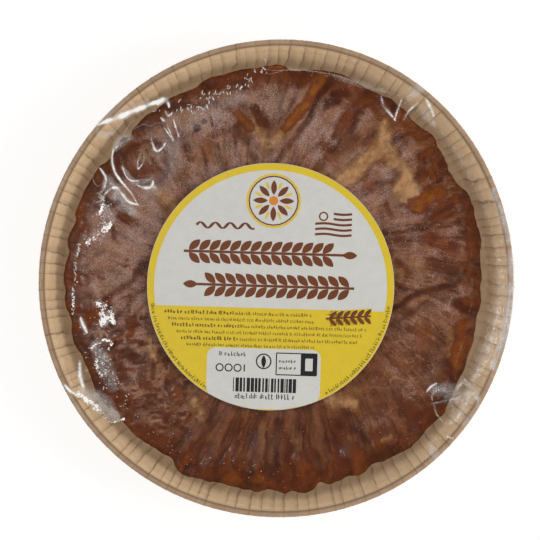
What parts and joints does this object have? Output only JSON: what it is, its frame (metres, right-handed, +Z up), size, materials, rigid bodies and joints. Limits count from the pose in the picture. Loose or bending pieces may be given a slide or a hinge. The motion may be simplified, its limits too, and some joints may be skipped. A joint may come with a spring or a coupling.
{
  "type": "kouign amann",
  "caption": "Round caramelised butter cake in its pleated paper baking tray, sealed in clear film with a round label on top.",
  "frame": {"origin": "middle of the flat underside, on the axis of the tray", "axes": "+Z up out of the tray's open side, +Y away from someone reading the label, +X to that person's right"},
  "size_m": [0.191, 0.191, 0.0307],
  "materials": {
    "kraft_paper": "pale brown pleated baking paper, matte",
    "crust": "caramelised dough, brown to amber, glossy where the caramel lies",
    "clear_film": "thin clear shrink film with creases",
    "label_paper": "white and yellow coated paper, satin"
  },
  "bodies": {
    "root": {"tray": "kraft_paper", "cake": "crust", "film": "clear_film", "label": "label_paper"}
  },
  "joints": []
}
